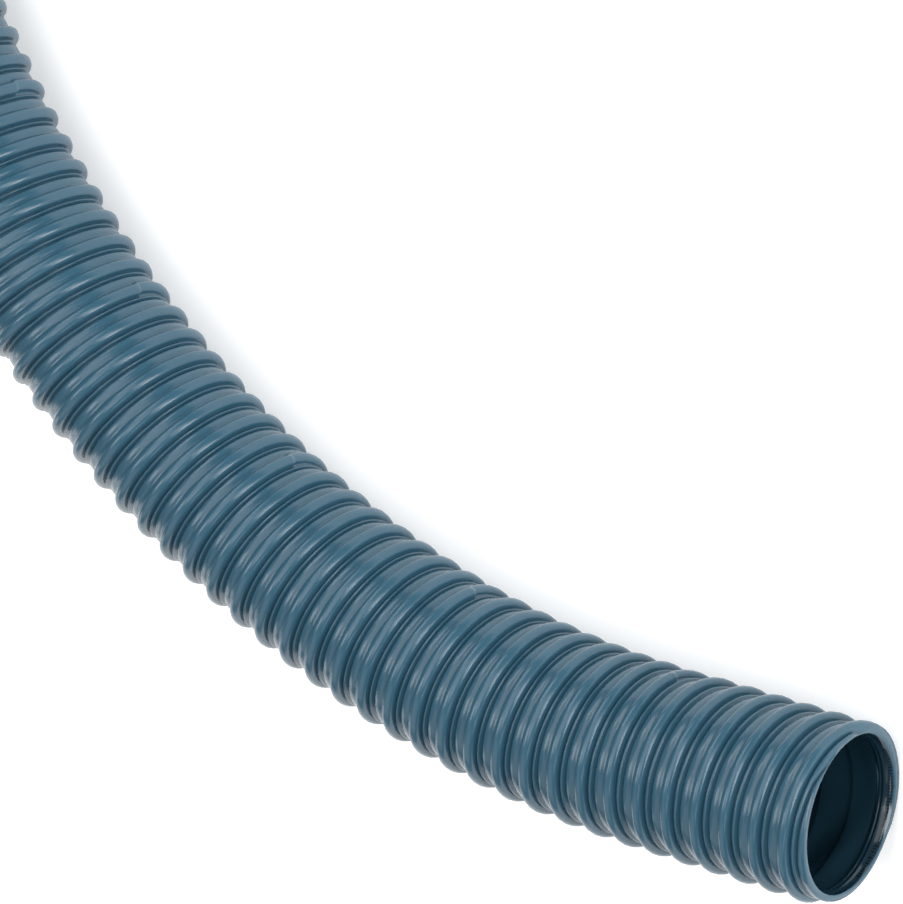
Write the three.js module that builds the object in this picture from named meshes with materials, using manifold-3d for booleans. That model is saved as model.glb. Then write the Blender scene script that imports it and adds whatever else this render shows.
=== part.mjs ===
// Flexible sewer hose: one vinyl tube with a round bead wound along it in a single left-handed helix.
// It lies on a level floor in a loose quarter bend, and both ends are cut square.
// Millimetres. +Z is up, the floor is z = 0, and the mouth that the hose is known by faces +X.
import * as THREE from "three";
import Module from "manifold-3d";

// Driving dimensions
const hoseLength = 1524;
const boreDiameter = 76.2;
const wallThickness = 1.4;
const beadHeight = 4.95;
const beadFootWidth = 10.6;
const beadCrownWidth = 4;
const beadPitch = 16.4;
const mouthStraight = 110;
const bendRadius = 536;
const bendAngle = Math.PI / 2;

// Where the bead's middle meets the mouth's face, as a turn from the inner side of the bend towards up.
const beadStartAngle = THREE.MathUtils.degToRad(-98.5);

// Facets
const sidesRound = 14;
const boreStepsInBend = 36;

const boreRadius = boreDiameter / 2;
const wallRadius = boreRadius + wallThickness;
const crownRadius = wallRadius + beadHeight;
const bottomAngle = -Math.PI / 2;

const wasm = await Module();
wasm.setup();

// The centreline runs straight back from the mouth, round one level bend, and straight on to the far end.
// It gives the place and heading at a distance from the mouth, and goes on straight past either end.
function centreline(distance) {
  const bendLength = bendRadius * bendAngle;
  const before = Math.min(distance, mouthStraight);
  const turn = THREE.MathUtils.clamp((distance - mouthStraight) / bendRadius, 0, bendAngle);
  const after = Math.max(distance - mouthStraight - bendLength, 0);
  const x = -before - bendRadius * Math.sin(turn) - after * Math.cos(turn);
  const y = bendRadius * (1 - Math.cos(turn)) + after * Math.sin(turn);
  return { x, y, turn };
}

// A point on the hose: distance from the mouth, angle round the centreline, and radius.
function onHose(distance, angle, radius) {
  const { x, y, turn } = centreline(distance);
  const aside = radius * Math.cos(angle);
  const up = radius * Math.sin(angle);
  return [x + aside * Math.sin(turn), y + aside * Math.cos(turn), crownRadius + up];
}

// Vertices and triangles of a closed surface, gathered before they become one solid.
class Surface {
  points = [];
  faces = [];

  add(point) {
    this.points.push(...point);
    return this.points.length / 3 - 1;
  }

  quad(a, b, c, d) {
    this.faces.push(a, b, c, a, c, d);
  }

  fan(centre, loop) {
    loop.forEach((corner, i) => this.faces.push(centre, corner, loop[(i + 1) % loop.length]));
  }

  solid() {
    const vertProperties = new Float32Array(this.points);
    const triVerts = new Uint32Array(this.faces);
    return new wasm.Manifold(new wasm.Mesh({ numProp: 3, vertProperties, triVerts }));
  }
}

// A plain round prism along the centreline, with a ring of corners at each distance.
function sweptPrism(distances, radius) {
  const surface = new Surface();
  const corners = [...Array(sidesRound).keys()];
  const rings = distances.map((distance) =>
    corners.map((i) => surface.add(onHose(distance, bottomAngle + (2 * Math.PI * i) / sidesRound, radius))),
  );
  for (let r = 0; r + 1 < rings.length; r++)
    for (const i of corners) {
      const next = (i + 1) % sidesRound;
      surface.quad(rings[r][i], rings[r + 1][i], rings[r + 1][next], rings[r][next]);
    }
  const first = distances[0];
  const last = distances[distances.length - 1];
  surface.fan(surface.add(onHose(first, 0, 0)), rings[0]);
  surface.fan(surface.add(onHose(last, 0, 0)), [...rings[rings.length - 1]].reverse());
  return surface.solid();
}

// The wall and its bead as one helical surface, a little longer than the hose at both ends.
// Every step round the hose has the same four points along it: bead foot, crown, crown, bead foot.
function beadedBody() {
  const surface = new Surface();
  const section = [
    { along: -beadFootWidth / 2, radius: wallRadius },
    { along: -beadCrownWidth / 2, radius: crownRadius },
    { along: beadCrownWidth / 2, radius: crownRadius },
    { along: beadFootWidth / 2, radius: wallRadius },
  ];
  const spareTurns = 2;
  const steps = sidesRound * (Math.ceil(hoseLength / beadPitch) + 2 * spareTurns);
  const startShift = (bottomAngle - beadStartAngle) / (2 * Math.PI) - spareTurns;
  const beadAt = (step) => beadPitch * (step / sidesRound + startShift);
  const angleAt = (step) => bottomAngle + (2 * Math.PI * step) / sidesRound;

  const rows = [];
  for (let step = 0; step <= steps; step++)
    rows.push(section.map((p) => surface.add(onHose(beadAt(step) + p.along, angleAt(step), p.radius))));

  for (let step = 0; step < steps; step++) {
    const [here, next] = [rows[step], rows[step + 1]];
    for (let j = 0; j < 3; j++) surface.quad(here[j], here[j + 1], next[j + 1], next[j]);
    const turnOn = step + sidesRound;
    if (turnOn < steps) surface.quad(here[3], rows[turnOn][0], rows[turnOn + 1][0], next[3]);
  }

  const firstTurn = rows.slice(0, sidesRound + 1).map((row) => row[0]);
  const firstStep = [rows[0][3], rows[0][2], rows[0][1]];
  surface.fan(surface.add(onHose(beadAt(0) - beadPitch, 0, 0)), [...firstTurn, ...firstStep]);

  const lastTurn = rows.slice(steps - sidesRound).map((row) => row[3]).reverse();
  const lastStep = [rows[steps][0], rows[steps][1], rows[steps][2]];
  surface.fan(surface.add(onHose(beadAt(steps) + beadPitch, 0, 0)), [...lastTurn, ...lastStep]);
  return surface.solid();
}

// The bore runs past both ends, with rings close enough in the bend to keep the wall even.
function bore() {
  const overrun = beadPitch;
  const bendLength = bendRadius * bendAngle;
  const inBend = [...Array(boreStepsInBend + 1).keys()].map(
    (i) => mouthStraight + (bendLength * i) / boreStepsInBend,
  );
  return sweptPrism([-overrun, ...inBend, hoseLength + overrun], boreRadius);
}

// Everything past an end, to be cut away so that the end is square.
function pastTheEnds() {
  const reach = 5 * beadPitch;
  const cutRadius = 2 * crownRadius;
  const mouth = sweptPrism([-reach, 0], cutRadius);
  const farEnd = sweptPrism([hoseLength, hoseLength + reach], cutRadius);
  return mouth.add(farEnd);
}

const hoseSolid = beadedBody().subtract(bore()).subtract(pastTheEnds());
const { vertProperties, triVerts } = hoseSolid.getMesh();
const hoseGeometry = new THREE.BufferGeometry()
  .setAttribute("position", new THREE.BufferAttribute(vertProperties, 3))
  .setIndex(new THREE.BufferAttribute(triVerts, 1));
hoseGeometry.computeVertexNormals();

const vinyl = new THREE.MeshStandardMaterial({ color: 0x46687c, roughness: 0.35, metalness: 0 });
const hose = new THREE.Mesh(hoseGeometry, vinyl);
hose.name = "hose";

// The origin is the middle of the hose's footprint on the floor.
hoseGeometry.computeBoundingBox();
const { min, max } = hoseGeometry.boundingBox;
hose.position.set(-(min.x + max.x) / 2, -(min.y + max.y) / 2, -min.z);

const sewerHose = new THREE.Group();
sewerHose.add(hose);
export default sewerHose;
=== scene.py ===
"""Looks of a flexible vinyl sewer hose that lies on a pale floor in a loose quarter bend.

The hose is one skin, outside, ends and bore together. Its outside follows one section that winds
round the hose in a left-handed helix. Sizes of the hose are in millimetres, and everything
that Blender gets is in metres.
"""

import math

import bpy
import numpy as np
from mathutils import Matrix, Vector


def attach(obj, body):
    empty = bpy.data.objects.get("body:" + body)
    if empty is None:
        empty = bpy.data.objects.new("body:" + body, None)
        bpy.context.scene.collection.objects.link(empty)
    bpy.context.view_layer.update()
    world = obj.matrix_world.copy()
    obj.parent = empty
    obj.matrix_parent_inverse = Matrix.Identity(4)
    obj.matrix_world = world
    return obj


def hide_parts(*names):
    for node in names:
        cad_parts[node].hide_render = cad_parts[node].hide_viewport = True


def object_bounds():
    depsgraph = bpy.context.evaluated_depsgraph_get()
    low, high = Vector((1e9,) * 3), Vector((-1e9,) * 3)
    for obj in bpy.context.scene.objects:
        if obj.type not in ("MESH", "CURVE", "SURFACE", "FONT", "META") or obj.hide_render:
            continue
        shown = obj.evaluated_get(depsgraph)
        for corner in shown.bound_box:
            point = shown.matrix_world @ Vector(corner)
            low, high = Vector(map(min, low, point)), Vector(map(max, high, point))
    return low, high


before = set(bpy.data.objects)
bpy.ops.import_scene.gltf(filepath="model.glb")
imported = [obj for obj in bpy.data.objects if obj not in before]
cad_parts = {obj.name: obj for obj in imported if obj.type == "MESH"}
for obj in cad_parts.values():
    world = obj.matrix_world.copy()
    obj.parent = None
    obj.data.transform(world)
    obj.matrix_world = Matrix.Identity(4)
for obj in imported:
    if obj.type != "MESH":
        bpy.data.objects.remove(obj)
cad_low, cad_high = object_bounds()

MM = 0.001

# The hose's route and main sizes, as in the part
HOSE_LENGTH = 1524.0
BORE_RADIUS = 38.1
CROWN_RADIUS = 44.45
BEAD_PITCH = 16.4
MOUTH_STRAIGHT = 110.0
BEND_RADIUS = 536.0
BEND_ANGLE = math.pi / 2
BEAD_START_ANGLE = math.radians(-98.5)

# The section of one pitch. Distances run from the bead's crest away from the mouth.
BEAD_HALF_WIDTH = 2.95
BEAD_MIDDLE_RADIUS = 41.4
BEAD_SQUARENESS = 2.1
DISH_RADIUS = 40.75
SHOULDER_RADIUS = 41.1
VALLEY_RADIUS = 38.5
RIDGE_RADIUS = 41.0
GROOVE_RADIUS = 38.95
VALLEY_PLACE = 9.75
GROOVE_PLACE = 13.3

# Inside, the wall's strip overlaps itself once a pitch, and bows out a little between two seams.
SEAM_STEP = 0.3
SEAM_FROM = 9.2
SEAMS_TO = 98.0
SEAM_SHIFT = 7.0

# Beyond the seams the bore is plain, with rings in the bend and past it, and a small lip at the far end.
BORE_RINGS_IN_BEND = 61
BORE_RINGS_PAST_BEND = 12
FAR_LIP = 0.35

# The bead is made in lengths of eight turns, and each length ends in a small step at the same angle.
STEP_ANGLE = math.radians(-2.0)
STEP_FIRST_TURN = 6
STEP_EVERY = 8
STEP_SHIFT = 1.3
STEP_DROP = 0.7
STEP_DROPS_ABOVE = 41.0

# The mouth was cut by hand, a little further back on the floor side.
CUT_MIDDLE = 0.3
CUT_SLANT = 1.8

COLUMNS = 44
PATH_POINTS = 121
BOTTOM = -math.pi / 2

# The camera: its place from the mouth's middle in metres, its angles in degrees, its lens in millimetres
CAMERA_PLACE = (1.1520, 0.9253, 1.7805)
CAMERA_AZIMUTH = 30.016
CAMERA_HEIGHT = 48.038
CAMERA_ROLL = -112.676
CAMERA_SENSOR = 36
CAMERA_LENS = 199.336

# The pale floor glows a little, like a light table, so the hose's shadow stays faint.
FLOOR_REACH = 40.0
FLOOR_GLOW = 0.4

# The softboxes stand round this place, at this distance in metres.
LIT_PLACE = (0.1, -0.45, 0.04)
LIGHT_DISTANCE = 6.0
WORLD_STRENGTH = 0.15


def centreline(distance):
    """Place and heading at distances from the mouth, straight on past either end."""
    before = np.minimum(distance, MOUTH_STRAIGHT)
    turn = np.clip((distance - MOUTH_STRAIGHT) / BEND_RADIUS, 0, BEND_ANGLE)
    after = np.maximum(distance - MOUTH_STRAIGHT - BEND_RADIUS * BEND_ANGLE, 0)
    x = -before - BEND_RADIUS * np.sin(turn) - after * np.cos(turn)
    y = BEND_RADIUS * (1 - np.cos(turn)) + after * np.sin(turn)
    return x, y, turn


# The mouth's middle in the frame: its face is the part's highest x, and the far end's face its highest y.
far_x, far_y, _ = centreline(HOSE_LENGTH)
MOUTH = Vector((cad_high.x, cad_high.y - far_y * MM, CROWN_RADIUS * MM))


def on_hose(distance, angle, radius):
    """Points in the frame, in metres, for distances from the mouth, angles and radii in millimetres."""
    x, y, turn = centreline(distance)
    aside = radius * np.cos(angle)
    points = np.stack([
        x + aside * np.sin(turn),
        y + aside * np.cos(turn),
        radius * np.sin(angle),
    ], axis=-1)
    return points * MM + np.array(MOUTH)


def smooth(edge_low, edge_high, value):
    """0 below one edge, 1 above the other, and smooth between them."""
    t = np.clip((value - edge_low) / (edge_high - edge_low), 0, 1)
    return t * t * (3 - 2 * t)


def bead_points():
    """The bead's round back as (along, radius), a slightly squared arc over an undercut mouth side."""
    height = CROWN_RADIUS - BEAD_MIDDLE_RADIUS
    power = 2 / BEAD_SQUARENESS
    points = [(0.3 - BEAD_HALF_WIDTH, BEAD_MIDDLE_RADIUS - 0.8)]
    for angle in np.radians(np.linspace(-90, 90, 9)):
        across = math.copysign(abs(math.sin(angle)) ** power, math.sin(angle))
        up = abs(math.cos(angle)) ** power
        points.append((BEAD_HALF_WIDTH * across, BEAD_MIDDLE_RADIUS + height * up))
    return points


def section_points():
    """One pitch of the outside, from the bead's mouth side to the groove before the next bead."""
    dish = [(4.3, DISH_RADIUS)]
    shoulder = [(5.3, SHOULDER_RADIUS), (8.2, SHOULDER_RADIUS - 0.1), (8.95, SHOULDER_RADIUS - 0.5)]
    valley = [(9.4, VALLEY_RADIUS - 0.2), (VALLEY_PLACE + 0.8, VALLEY_RADIUS - 0.15)]
    ridge = [(10.85, RIDGE_RADIUS - 0.35), (11.5, RIDGE_RADIUS + 0.35), (12.35, RIDGE_RADIUS + 0.1)]
    groove = [(GROOVE_PLACE - 0.25, GROOVE_RADIUS - 0.3)]
    return bead_points() + dish + shoulder + valley + ridge + groove


# Places in the list of section points: the bead is first, and the ridge's three stand before the groove.
BEAD_POINTS = len(bead_points())
GROOVE_FROM = len(section_points()) - 1
RIDGE_FROM = GROOVE_FROM - 3


def outside(distance, angle, index, turn_number):
    """Distances and radii of the section's points, with the bead's steps and the bend's folding."""
    section = section_points()
    along = np.array([p[0] for p in section])[index]
    radius = np.array([p[1] for p in section])[index]

    # The bend's inner side is short, so the fine ridge narrows there, and the bead's mouth side spreads.
    # On the outer side they do the opposite.
    in_bend = smooth(MOUTH_STRAIGHT - 20, MOUTH_STRAIGHT + 60, distance)
    in_bend = in_bend * (1 - smooth(-60, 20, distance - MOUTH_STRAIGHT - BEND_RADIUS * BEND_ANGLE))
    fold = in_bend * np.cos(angle)
    groove_place = GROOVE_PLACE - 0.9 * in_bend - 0.55 * fold
    after_valley = along > VALLEY_PLACE
    share = (along - VALLEY_PLACE) / (GROOVE_PLACE - VALLEY_PLACE)
    along = np.where(after_valley, VALLEY_PLACE + share * (groove_place - VALLEY_PLACE), along)
    mouth_side = (index < BEAD_POINTS) & (along < 0)
    spread = (BEAD_PITCH - groove_place - 0.1) / (BEAD_PITCH - GROOVE_PLACE - 0.1)
    along = np.where(mouth_side, along * spread, along)
    is_ridge = (index >= RIDGE_FROM) & (index < GROOVE_FROM)
    radius = radius - is_ridge * 0.3 * fold

    # A length of bead ends in a rounded nose, and the next one starts behind it, further from the mouth.
    past = np.degrees(STEP_ANGLE - angle)
    whole = np.round((turn_number - STEP_FIRST_TURN) / STEP_EVERY)
    at_step = turn_number == STEP_FIRST_TURN + STEP_EVERY * whole
    nose = smooth(0.0, 2.0, past) * (1 - smooth(8.0, 46.0, past))
    is_bead = index < BEAD_POINTS
    shift = at_step * is_bead * nose
    along = along + STEP_SHIFT * shift
    radius = radius - STEP_DROP * shift * (radius > STEP_DROPS_ABOVE)
    return distance + along, radius


def column_angles():
    """Angles of the columns once round from the floor side, closer together where the bead has its steps."""
    even = BOTTOM + 2 * math.pi * np.arange(COLUMNS) / COLUMNS
    extra = STEP_ANGLE + np.radians([-3.2, -1.6, -0.8, 0.6])
    return np.sort(np.concatenate([even, extra]))


def seam_points():
    """One pitch of the bore near the mouth: a small step at the seam, then a strip that bows out."""
    strip = [(0.5, 0.0), (3.0, 0.1), (6.0, 0.15), (9.0, 0.15), (12.5, 0.0)]
    return [(0.0, -SEAM_STEP)] + strip + [(15.8, -SEAM_STEP)]


def inside(distance, angle, index, turn_number):
    """Distances and radii of the bore's points, with the seams and the dents over them."""
    section = seam_points()
    along = np.array([p[0] for p in section])[index]
    radius = BORE_RADIUS + np.array([p[1] for p in section])[index]
    return distance + along, radius + bore_dents(distance + along, angle)


def bore_dents(distance, angle):
    """Shallow dents of the soft wall, seen inside, that fade out from the mouth and down the bore."""
    fade = smooth(8, 20, distance) * (1 - smooth(70, SEAMS_TO - 4, distance))
    waves = 0.8 * np.sin(distance / 5.2 + 2.0 * angle + 0.6)
    waves = waves + 0.6 * np.sin(distance / 8.0 - 3.0 * angle + 1.3)
    waves = waves + 0.3 * np.sin(distance / 4.0 + 5.0 * angle + 0.4)
    return fade * (waves - 1.0)


class Skin:
    """Vertices, faces and unrolled places of the hose's skin, in columns along the hose."""

    def __init__(self, angles):
        self.angles = angles
        self.vertices = []
        self.places = []
        self.in_bore = []
        self.lining = 0.0
        self.quads = []
        self.count = 0

    def add(self, distances, around, radii):
        self.vertices.append(on_hose(distances, around, radii))
        self.places.append(np.stack([around * CROWN_RADIUS, distances], axis=-1) * MM)
        self.in_bore.append(np.full(len(distances), self.lining))
        self.count += len(distances)
        return np.arange(self.count - len(distances), self.count)

    def ring(self, at, radius):
        columns = len(self.angles)
        radii = np.broadcast_to(radius, (columns,)).astype(float)
        return self.add(np.broadcast_to(at, (columns,)).astype(float), self.angles, radii)

    def helical_wall(self, section, points_per_turn, start, end, shift, facing_out):
        """A wall whose section winds along the hose, cut square at both ends. Gives its two end rings."""
        start, end = np.broadcast_arrays(start, end, self.angles)[:2]
        first_turn = math.floor(start.min() / BEAD_PITCH) - 2
        turns = math.ceil((end.max() - start.min()) / BEAD_PITCH) + 4
        index = np.tile(np.arange(points_per_turn), turns)
        turn_number = first_turn + np.repeat(np.arange(turns), points_per_turn)
        helix = BEAD_PITCH * (self.angles - BEAD_START_ANGLE) / (2 * math.pi) + shift
        crest = turn_number[None, :] * BEAD_PITCH + helix[:, None]
        shape = crest.shape
        angle = np.broadcast_to(self.angles[:, None], shape)
        distance, radius = section(
            crest, angle, np.broadcast_to(index, shape), np.broadcast_to(turn_number, shape))
        distance = np.maximum.accumulate(distance, axis=1)

        near = 0.02
        start_ring = self.ring(start, [np.interp(*at) for at in zip(start, distance, radius)])
        end_ring = self.ring(end, [np.interp(*at) for at in zip(end, distance, radius)])
        before = distance <= start[:, None] + near
        after = distance >= end[:, None] - near
        kept = ~(before | after)
        numbers = np.empty(shape, dtype=int)
        numbers[kept] = self.add(distance[kept], angle[kept], radius[kept])
        numbers[before] = np.broadcast_to(start_ring[:, None], shape)[before]
        numbers[after] = np.broadcast_to(end_ring[:, None], shape)[after]

        # The last column meets the first one a turn further on.
        onward = np.concatenate([numbers[1:, :], np.roll(numbers[:1, :], -points_per_turn, axis=1)])
        onward[-1, -points_per_turn:] = end_ring[0]
        corners = [numbers[:, :-1], numbers[:, 1:], onward[:, 1:], onward[:, :-1]]
        quads = np.stack(corners if facing_out else corners[::-1], axis=-1)
        self.quads.append(quads.reshape(-1, 4))
        return start_ring, end_ring

    def join_rings(self, rings):
        """Bands between rings that run from the outside over an end and on into the bore."""
        for near, far in zip(rings, rings[1:]):
            self.quads.append(np.stack([near, np.roll(near, -1), np.roll(far, -1), far], axis=-1))

    def faces(self):
        """The faces, with corners that fell together taken out."""
        cleaned = []
        for quad in np.concatenate(self.quads).tolist():
            corners = [v for i, v in enumerate(quad) if v != quad[i - 1]]
            if len(corners) >= 3 and len(set(corners)) == len(corners):
                cleaned.append(corners)
        return cleaned


def hose_skin():
    """The whole skin: the outside, both cut ends, and the bore with its seams near the mouth."""
    skin = Skin(column_angles())
    cut = CUT_MIDDLE - CUT_SLANT * np.sin(skin.angles)
    start_ring, end_ring = skin.helical_wall(outside, len(section_points()), cut, HOSE_LENGTH, 0, True)

    # The cut's inner edge is worn back on the floor side, and the wall looks thicker on the upper side.
    upward = np.sin(skin.angles)
    lean = np.where(upward < 0, -2.8 * upward, -0.85 * upward)
    edge = [(0, 0.15, 1.0), (0.3, -0.15, 0.95)]
    rings = [start_ring]
    for at, more, share in edge:
        rings.append(skin.ring(at + cut, BORE_RADIUS + more + share * lean))
    skin.lining = 1.0
    rings.append(skin.ring(0.9 + cut, BORE_RADIUS + 0.1 + 0.5 * lean))

    # Just inside the mouth, two fine ridges run round the bore, with a sharp gap behind them.
    near_mouth = [
        (1.9, 0.35), (3.4, 0.35), (4.2, -0.35), (4.9, -0.5), (5.4, 0.15),
        (6.1, -0.5), (7.0, -0.6), (7.5, -0.2), (7.9, 0.5),
    ]
    for at, more in near_mouth:
        rings.append(skin.ring(at + cut, BORE_RADIUS + more))
    seam_start, seam_end = skin.helical_wall(
        inside, len(seam_points()), SEAM_FROM + cut, SEAMS_TO, SEAM_SHIFT, False)
    skin.join_rings(rings + [seam_start])

    bend_end = MOUTH_STRAIGHT + BEND_RADIUS * BEND_ANGLE
    in_bend = np.linspace(MOUTH_STRAIGHT, bend_end, BORE_RINGS_IN_BEND)
    past_bend = np.linspace(bend_end, HOSE_LENGTH, BORE_RINGS_PAST_BEND)[1:-1]
    rings = [skin.ring(at, BORE_RADIUS) for at in np.concatenate([in_bend, past_bend])]
    far_lip = [skin.ring(HOSE_LENGTH - FAR_LIP, BORE_RADIUS), skin.ring(HOSE_LENGTH, BORE_RADIUS + FAR_LIP)]
    skin.join_rings([seam_end] + rings + far_lip + [end_ring])
    vertices = np.concatenate(skin.vertices)
    places = np.concatenate(skin.places)
    return vertices, skin.faces(), places, np.concatenate(skin.in_bore)


def make_mesh(name, vertices, faces, places, in_bore):
    """A smooth-shaded mesh object, with a UV map of the unrolled hose and a value that marks the bore."""
    mesh = bpy.data.meshes.new(name)
    mesh.from_pydata(vertices.tolist(), [], faces)
    mesh.validate()
    used = np.empty(len(mesh.loops), dtype=np.int32)
    mesh.loops.foreach_get("vertex_index", used)
    corner_places = places[used]
    starts = np.empty(len(mesh.polygons), dtype=np.int32)
    counts = np.empty(len(mesh.polygons), dtype=np.int32)
    mesh.polygons.foreach_get("loop_start", starts)
    mesh.polygons.foreach_get("loop_total", counts)
    # A face that crosses the join takes its low corners one turn on, so the pattern doesn't smear.
    round_once = 2 * math.pi * CROWN_RADIUS * MM
    highest = np.maximum.reduceat(corner_places[:, 0], starts)
    behind = corner_places[:, 0] < np.repeat(highest, counts) - round_once / 2
    corner_places[behind, 0] += round_once
    layer = mesh.uv_layers.new(name="unrolled")
    layer.data.foreach_set("uv", corner_places.astype(np.float32).ravel())
    bore = mesh.attributes.new("in_bore", "FLOAT", "POINT")
    bore.data.foreach_set("value", in_bore.astype(np.float32))
    mesh.polygons.foreach_set("use_smooth", np.ones(len(mesh.polygons), dtype=bool))
    obj = bpy.data.objects.new(name, mesh)
    bpy.context.scene.collection.objects.link(obj)
    return obj


class Socket:
    """A node's output, with arithmetic that adds Math nodes."""

    def __init__(self, shader, output):
        self.shader = shader
        self.output = output

    def _math(self, operation, *values):
        return self.shader.node("ShaderNodeMath", {"operation": operation}, dict(enumerate(values)))

    def __add__(self, other):
        return self._math("ADD", self, other)

    __radd__ = __add__

    def __mul__(self, other):
        return self._math("MULTIPLY", self, other)

    __rmul__ = __mul__

    def __sub__(self, other):
        return self._math("SUBTRACT", self, other)

    def __rsub__(self, other):
        return self._math("SUBTRACT", other, self)

    def sine(self):
        return self._math("SINE", self)

    def above(self, edge):
        return self._math("GREATER_THAN", self, edge)

    def below(self, edge):
        return self._math("LESS_THAN", self, edge)


class Shader:
    """One material's nodes."""

    def __init__(self, name):
        self.material = bpy.data.materials.new(name)
        self.material.use_nodes = True
        self.tree = self.material.node_tree
        self.principled = self.tree.nodes["Principled BSDF"]

    def node(self, kind, settings=None, values=None, output=0):
        made = self.tree.nodes.new(kind)
        for name, value in (settings or {}).items():
            if name == "stops":
                self._stops(made, value)
            else:
                setattr(made, name, value)
        for name, value in (values or {}).items():
            self.set(made, name, value)
        return Socket(self, made.outputs[output])

    def mix(self, share, first, second):
        """A colour between two others."""
        values = {0: share, 6: first, 7: second}
        return self.node("ShaderNodeMix", {"data_type": "RGBA"}, values, output=2)

    def _stops(self, ramp, stops):
        elements = ramp.color_ramp.elements
        while len(elements) < len(stops):
            elements.new(0.5)
        for element, (position, colour) in zip(elements, stops):
            element.position = position
            element.color = colour

    def set(self, node, name, value):
        if isinstance(value, Socket):
            self.tree.links.new(value.output, node.inputs[name])
        else:
            node.inputs[name].default_value = value

    def finish(self, **values):
        for name, value in values.items():
            self.set(self.principled, name.replace("_", " ").title().replace("Ior", "IOR"), value)
        return self.material


def vinyl_material():
    """Blue-grey flexible vinyl with a soft gloss and faint clouding, glossier in the bore, with painted
    shade that darkens the bore and its knife notches.
    """
    shader = Shader("blue_grey_vinyl")
    objects = shader.node("ShaderNodeTexCoord", output=3)
    cloud = shader.node("ShaderNodeTexNoise", {}, {"Vector": objects, "Scale": 60.0, "Detail": 3.0})
    colour = shader.node("ShaderNodeValToRGB", {"stops": [
        (0.3, (0.0285, 0.092, 0.140, 1)),
        (0.7, (0.0315, 0.099, 0.150, 1)),
    ]}, {"Fac": cloud})
    # The bore is glossier than the outside, and its colour is darkened there as painted shade.
    bore = shader.node("ShaderNodeAttribute", {"attribute_name": "in_bore"}, output=2)
    place = shader.node("ShaderNodeUVMap", {"uv_map": "unrolled"})
    around = shader.node("ShaderNodeSeparateXYZ", {}, {"Vector": place}, output=0)
    along = shader.node("ShaderNodeSeparateXYZ", {}, {"Vector": place}, output=1)
    # The knife left a row of short notches just inside the mouth, on its floor side, and the shade in them
    # is painted in near black.
    waver = shader.node("ShaderNodeTexNoise", {"noise_dimensions": "1D"}, {"W": around, "Scale": 900.0})
    painted_notch_shade = (around * 3300.0 + waver * 5.0).sine().above(0.1) * along.above(0.0022) * along.below(0.0045)
    upper_side = around.above(-0.0078) * around.below(0.155)
    painted_notch_shade = painted_notch_shade * (1 - upper_side)
    # Painted shade: the bore's colour is darkened.
    colour = shader.mix(bore * 0.85, colour, (0.006, 0.020, 0.032, 1))
    # Painted shade: the knife notches are darkened to near black.
    colour = shader.mix(bore * painted_notch_shade * 0.75, colour, (0.001, 0.004, 0.006, 1))
    return shader.finish(base_color=colour, roughness=0.24 - bore * 0.12, ior=1.5)


def make_hose():
    hose = make_mesh("hose_skin", *hose_skin())
    hose.data.materials.append(vinyl_material())
    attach(hose, "root")
    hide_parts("hose")
    path_distances = np.linspace(0, HOSE_LENGTH, PATH_POINTS)
    path = on_hose(path_distances, np.zeros_like(path_distances), np.zeros_like(path_distances))
    return hose


def direction(azimuth, height):
    """A level angle from +X and a height above the floor, both in degrees, as a vector."""
    a, h = math.radians(azimuth), math.radians(height)
    return Vector((math.cos(a) * math.cos(h), math.sin(a) * math.cos(h), math.sin(h)))


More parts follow.
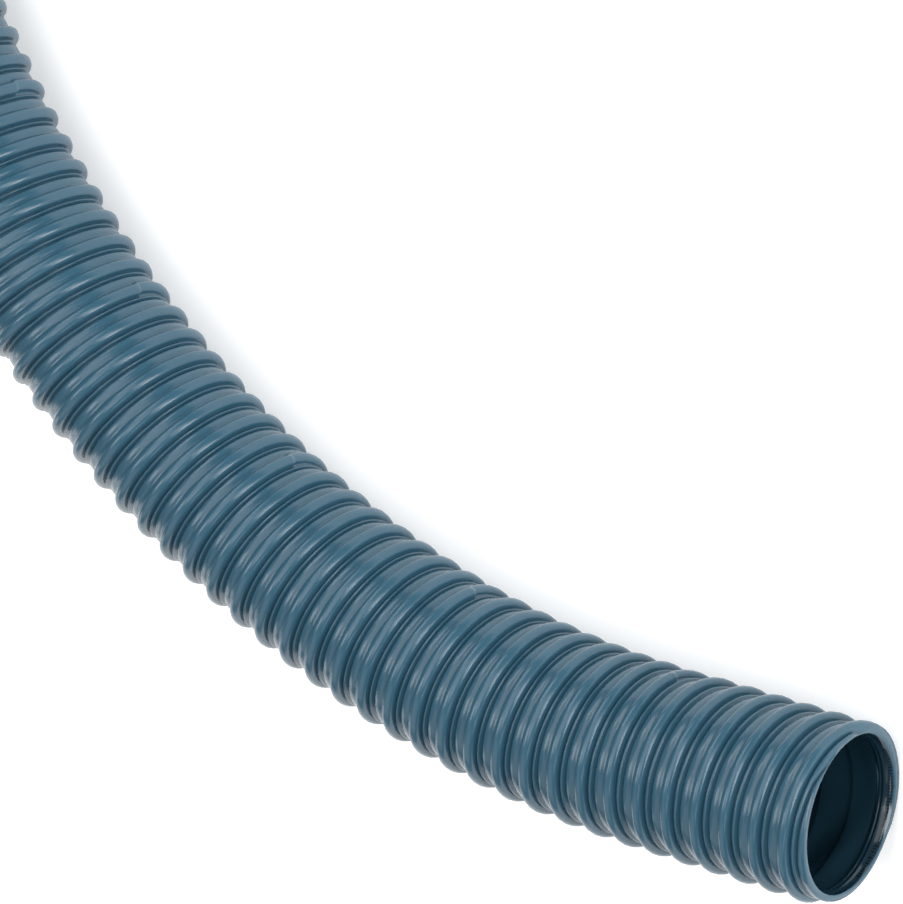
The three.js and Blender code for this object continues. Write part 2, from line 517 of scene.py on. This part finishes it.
def make_camera():
    """The photograph's view: from in front of the mouth and above, with the camera rolled on its side."""
    data = bpy.data.cameras.new("camera")
    data.sensor_width = CAMERA_SENSOR
    data.lens = CAMERA_LENS
    data.clip_end = 50
    camera = bpy.data.objects.new("camera", data)
    back = direction(CAMERA_AZIMUTH, CAMERA_HEIGHT)
    level = direction(CAMERA_AZIMUTH + 90, 0)
    roll = math.radians(CAMERA_ROLL)
    right = level * math.cos(roll) + back.cross(level) * math.sin(roll)
    turn = Matrix((right, back.cross(right), back)).transposed()
    camera.matrix_world = Matrix.Translation(MOUTH + Vector(CAMERA_PLACE)) @ turn.to_4x4()
    bpy.context.scene.collection.objects.link(camera)
    bpy.context.scene.camera = camera
    return camera


def make_floor():
    reach = FLOOR_REACH
    mesh = bpy.data.meshes.new("floor")
    corners = [(-reach, -reach, 0), (reach, -reach, 0), (reach, reach, 0), (-reach, reach, 0)]
    mesh.from_pydata(corners, [], [(0, 1, 2, 3)])
    floor = bpy.data.objects.new("floor", mesh)
    bpy.context.scene.collection.objects.link(floor)
    shader = Shader("pale_floor")
    floor.data.materials.append(shader.finish(
        base_color=(0.86, 0.86, 0.86, 1), roughness=0.9,
        emission_color=(1, 1, 1, 1), emission_strength=FLOOR_GLOW))
    return floor


def area_light(name, place, target, size, power):
    data = bpy.data.lights.new(name, "AREA")
    data.shape = "RECTANGLE"
    data.size, data.size_y = size
    data.energy = power
    light = bpy.data.objects.new(name, data)
    light.location = place
    light.rotation_euler = (Vector(target) - Vector(place)).to_track_quat("-Z", "Y").to_euler()
    bpy.context.scene.collection.objects.link(light)
    return light


def make_lights():
    scene = bpy.context.scene
    scene.view_settings.view_transform = "Standard"
    world = bpy.data.worlds.new("studio")
    world.use_nodes = True
    background = world.node_tree.nodes["Background"]
    background.inputs["Color"].default_value = (1, 1, 1, 1)
    background.inputs["Strength"].default_value = WORLD_STRENGTH
    scene.world = world
    middle = Vector(LIT_PLACE)
    # Each softbox by its azimuth, its height, half its width in degrees, and its power in watts
    softboxes = {
        "high_back": (100, 66, 26, 195),
        "left": (130, 30, 6, 24),
        "front": (30, 36, 12, 84),
        "low_front": (4, 17, 12, 165),
        "far": (180, 56, 9.5, 60),
        "low_left": (112, 24, 11, 54),
        "behind": (250, 40, 24, 72),
        "right": (325, 40, 9.5, 30),
        "top": (0, 84, 9.5, 26),
        "low_behind": (217, 9, 7, 15),
    }
    for name, (azimuth, height, half_angle, power) in softboxes.items():
        place = middle + direction(azimuth, height) * LIGHT_DISTANCE
        width = 2 * LIGHT_DISTANCE * math.tan(math.radians(half_angle))
        area_light(name, place, middle, (width, width), power)


make_hose()
make_camera()
make_floor()
make_lights()
